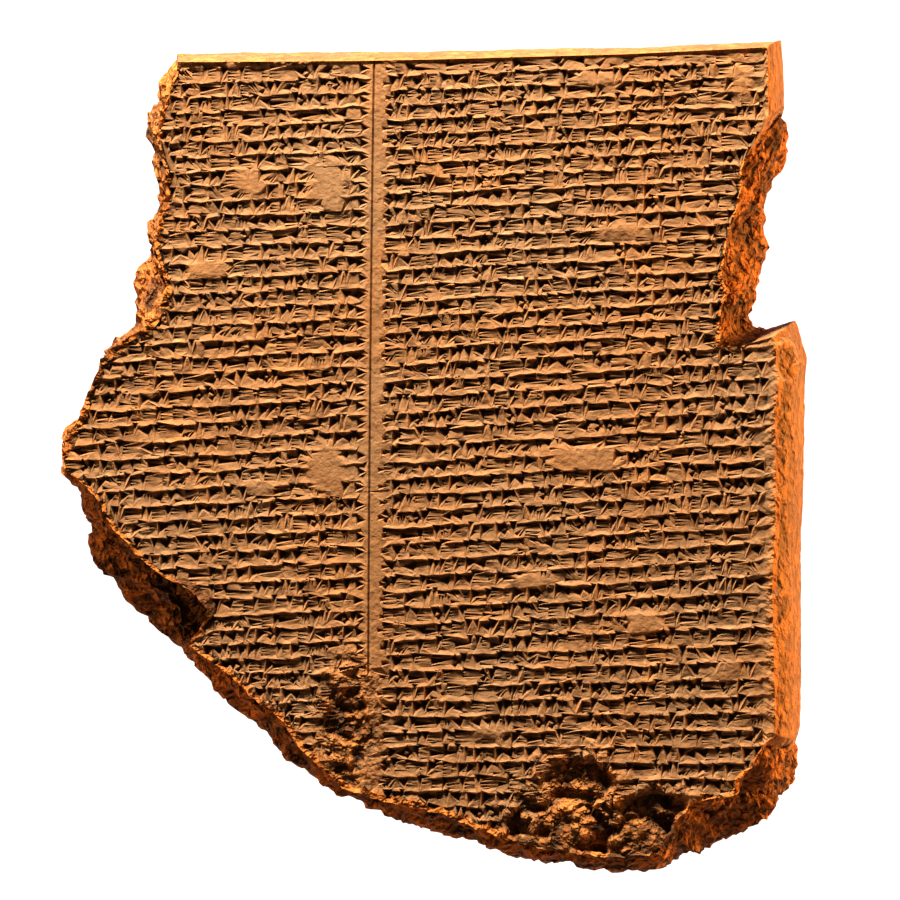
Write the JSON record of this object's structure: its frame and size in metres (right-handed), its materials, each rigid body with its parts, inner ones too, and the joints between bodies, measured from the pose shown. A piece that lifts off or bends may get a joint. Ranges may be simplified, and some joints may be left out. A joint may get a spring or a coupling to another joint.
{
  "type": "cuneiform tablet",
  "caption": "Broken fired-clay cuneiform tablet, lying face up, with rows of wedge strokes in two ruled columns.",
  "frame": {"origin": "middle of the bounding box's floor, under the tablet as it lies on its back", "axes": "+Z is the way the inscribed face looks, +Y runs to the top edge of the text, +X to the right edge"},
  "size_m": [0.136, 0.1518, 0.032],
  "materials": {
    "fired_clay": "matt, fine-grained on the face, coarse and darker where broken"
  },
  "bodies": {
    "root": {"tablet": "fired_clay"}
  },
  "joints": []
}
